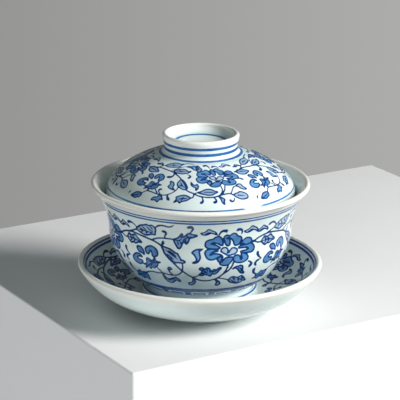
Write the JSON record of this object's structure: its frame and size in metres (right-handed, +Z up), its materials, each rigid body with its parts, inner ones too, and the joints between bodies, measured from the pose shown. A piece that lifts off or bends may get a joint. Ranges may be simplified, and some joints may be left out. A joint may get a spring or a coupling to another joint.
{
  "type": "gaiwan",
  "caption": "Lidded porcelain tea bowl with a flared mouth, a domed lid with a hollow ring knob, and a saucer with a ridge round its well; blue painted flower scroll.",
  "frame": {"origin": "centre of the saucer's foot ring, on the surface that it stands on", "axes": "+Z up along the axis that all three pieces are turned round; they are round, so X and Y are free"},
  "size_m": [0.1124, 0.1124, 0.0834],
  "materials": {
    "saucer_glaze": "gloss",
    "bowl_glaze": "gloss",
    "lid_glaze": "gloss"
  },
  "bodies": {
    "saucer": {"saucer": "saucer_glaze"},
    "bowl": {"bowl": "bowl_glaze"},
    "lid": {"lid": "lid_glaze"}
  },
  "joints": [
    {"name": "bowl_lift", "type": "slide", "parent": "saucer", "child": "bowl", "axis": [0, 0, 1], "range_m": [0, 0.06]},
    {"name": "lid_lift", "type": "slide", "parent": "bowl", "child": "lid", "axis": [0, 0, 1], "range_m": [0, 0.06]}
  ]
}
